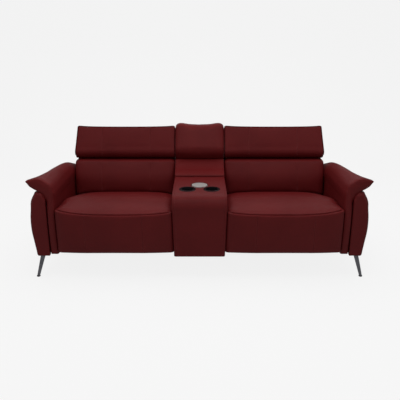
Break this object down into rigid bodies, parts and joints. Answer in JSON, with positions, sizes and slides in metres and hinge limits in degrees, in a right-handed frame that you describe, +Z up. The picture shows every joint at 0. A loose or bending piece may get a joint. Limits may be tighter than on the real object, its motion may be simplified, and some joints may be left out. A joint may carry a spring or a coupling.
{
  "type": "power reclining sofa",
  "caption": "Two-seat power reclining sofa in red leather with a fixed centre console, winged arms, tilting headrests and splayed metal legs.",
  "frame": {"origin": "on the floor, under the middle of the sofa's bounding box", "axes": "+X across the sofa to the right as seen from the front, +Y from the front to the back, +Z up"},
  "size_m": [2.2428, 0.95, 0.9256],
  "materials": {
    "red_leather": "satin",
    "black_steel": "satin",
    "wood_board": "matte",
    "deck_webbing": "matte",
    "motor_housing": "matte",
    "carriage_plastic": "matte",
    "switch_trim": "satin",
    "rocker_plastic": "satin",
    "cup_plastic": "gloss",
    "charging_surface": "matte",
    "bright_trim": "polished",
    "leg_metal": "satin",
    "glide_rubber": "matte"
  },
  "bodies": {
    "base": {"left_base_rails": "black_steel", "left_switch_plate": "switch_trim", "left_arm_frame": "red_leather", "left_arm_side_pad": "red_leather", "left_arm_wing": "red_leather", "left_cup_holder": "cup_plastic", "right_base_rails": "black_steel", "right_switch_plate": "switch_trim", "right_arm_frame": "red_leather", "right_arm_side_pad": "red_leather", "right_arm_wing": "red_leather", "right_cup_holder": "cup_plastic", "console_box": "red_leather", "console_top": "red_leather", "console_back_lower": "red_leather", "console_back_upper": "red_leather", "charging_disc": "charging_surface", "charging_ring": "bright_trim", "legs": "leg_metal", "centre_legs": "black_steel", "glides": "glide_rubber", "cross_rails": "black_steel", "rear_panel": "red_leather", "power_supply": "motor_housing"},
    "left_seat": {"left_seat_cushion": "red_leather", "left_seat_deck": "deck_webbing", "left_seat_frame": "black_steel", "left_actuator": "motor_housing"},
    "left_back": {"left_back_cushion": "red_leather", "left_back_frame": "wood_board", "left_back_brackets": "black_steel", "left_back_panel": "red_leather", "left_headrest_hinge": "black_steel"},
    "left_headrest": {"left_headrest_pad": "red_leather"},
    "left_long_link": {"left_long_links": "black_steel", "left_drive_tube": "black_steel"},
    "left_short_link": {"left_short_links": "black_steel"},
    "left_footrest": {"left_footrest_pad": "red_leather", "left_footrest_board": "wood_board", "left_footrest_brackets": "black_steel"},
    "left_carriage": {"left_carriage": "carriage_plastic"},
    "left_rocker": {"left_rocker": "rocker_plastic"},
    "right_seat": {"right_seat_cushion": "red_leather", "right_seat_deck": "deck_webbing", "right_seat_frame": "black_steel", "right_actuator": "motor_housing"},
    "right_back": {"right_back_cushion": "red_leather", "right_back_frame": "wood_board", "right_back_brackets": "black_steel", "right_back_panel": "red_leather", "right_headrest_hinge": "black_steel"},
    "right_headrest": {"right_headrest_pad": "red_leather"},
    "right_long_link": {"right_long_links": "black_steel", "right_drive_tube": "black_steel"},
    "right_short_link": {"right_short_links": "black_steel"},
    "right_footrest": {"right_footrest_pad": "red_leather", "right_footrest_board": "wood_board", "right_footrest_brackets": "black_steel"},
    "right_carriage": {"right_carriage": "carriage_plastic"},
    "right_rocker": {"right_rocker": "rocker_plastic"}
  },
  "joints": [
    {"name": "left_recline_slide", "type": "slide", "parent": "base", "child": "left_seat", "axis": [0, -1, 0], "range_m": [0, 0.1]},
    {"name": "left_back_recline", "type": "hinge", "parent": "left_seat", "child": "left_back", "pos_m": [-0.565, 0.175, 0.37], "axis": [-1, 0, 0], "range_deg": [0, 30.01]},
    {"name": "left_headrest_tilt", "type": "hinge", "parent": "left_back", "child": "left_headrest", "pos_m": [-0.565, 0.26, 0.722], "axis": [1, 0, 0], "range_deg": [0, 50]},
    {"name": "left_footrest_drive", "type": "hinge", "parent": "left_seat", "child": "left_long_link", "pos_m": [-0.565, -0.275, 0.33], "axis": [-1, 0, 0], "range_deg": [0, 157.2]},
    {"name": "left_short_link_pivot", "type": "hinge", "parent": "left_long_link", "child": "left_short_link", "pos_m": [-0.565, -0.095, 0.2], "axis": [-1, 0, 0], "range_deg": [-169.75, 0]},
    {"name": "left_footrest_tilt", "type": "hinge", "parent": "left_short_link", "child": "left_footrest", "pos_m": [-0.565, -0.379, 0.25], "axis": [-1, 0, 0], "range_deg": [0, 102.55]},
    {"name": "left_carriage_slide", "type": "slide", "parent": "left_seat", "child": "left_carriage", "axis": [0, -1, 0], "range_m": [0, 0.21446]},
    {"name": "left_rocker_press", "type": "hinge", "parent": "base", "child": "left_rocker", "pos_m": [-0.1803, -0.27, 0.537], "axis": [0, 0, 1], "range_deg": [-6, 6], "stiffness_Nm_per_rad": 1},
    {"name": "right_recline_slide", "type": "slide", "parent": "base", "child": "right_seat", "axis": [0, -1, 0], "range_m": [0, 0.1]},
    {"name": "right_back_recline", "type": "hinge", "parent": "right_seat", "child": "right_back", "pos_m": [0.565, 0.175, 0.37], "axis": [-1, 0, 0], "range_deg": [0, 30.01]},
    {"name": "right_headrest_tilt", "type": "hinge", "parent": "right_back", "child": "right_headrest", "pos_m": [0.565, 0.26, 0.722], "axis": [1, 0, 0], "range_deg": [0, 50]},
    {"name": "right_footrest_drive", "type": "hinge", "parent": "right_seat", "child": "right_long_link", "pos_m": [0.565, -0.275, 0.33], "axis": [-1, 0, 0], "range_deg": [0, 157.2]},
    {"name": "right_short_link_pivot", "type": "hinge", "parent": "right_long_link", "child": "right_short_link", "pos_m": [0.565, -0.095, 0.2], "axis": [-1, 0, 0], "range_deg": [-169.75, 0]},
    {"name": "right_footrest_tilt", "type": "hinge", "parent": "right_short_link", "child": "right_footrest", "pos_m": [0.565, -0.379, 0.25], "axis": [-1, 0, 0], "range_deg": [0, 102.55]},
    {"name": "right_carriage_slide", "type": "slide", "parent": "right_seat", "child": "right_carriage", "axis": [0, -1, 0], "range_m": [0, 0.21446]},
    {"name": "right_rocker_press", "type": "hinge", "parent": "base", "child": "right_rocker", "pos_m": [0.1803, -0.27, 0.537], "axis": [0, 0, 1], "range_deg": [-6, 6], "stiffness_Nm_per_rad": 1}
  ],
  "couplings": [
    {"joint": "left_back_recline", "follows": "left_recline_slide", "rad_per_m": 5.236},
    {"joint": "left_short_link_pivot", "follows": "left_footrest_drive", "ratio": -1.0795},
    {"joint": "left_footrest_tilt", "follows": "left_footrest_drive", "ratio": 0.65204},
    {"joint": "left_carriage_slide", "follows": "left_footrest_drive", "m_per_rad": 0.07813},
    {"joint": "right_back_recline", "follows": "right_recline_slide", "rad_per_m": 5.236},
    {"joint": "right_short_link_pivot", "follows": "right_footrest_drive", "ratio": -1.0795},
    {"joint": "right_footrest_tilt", "follows": "right_footrest_drive", "ratio": 0.65204},
    {"joint": "right_carriage_slide", "follows": "right_footrest_drive", "m_per_rad": 0.07813}
  ]
}
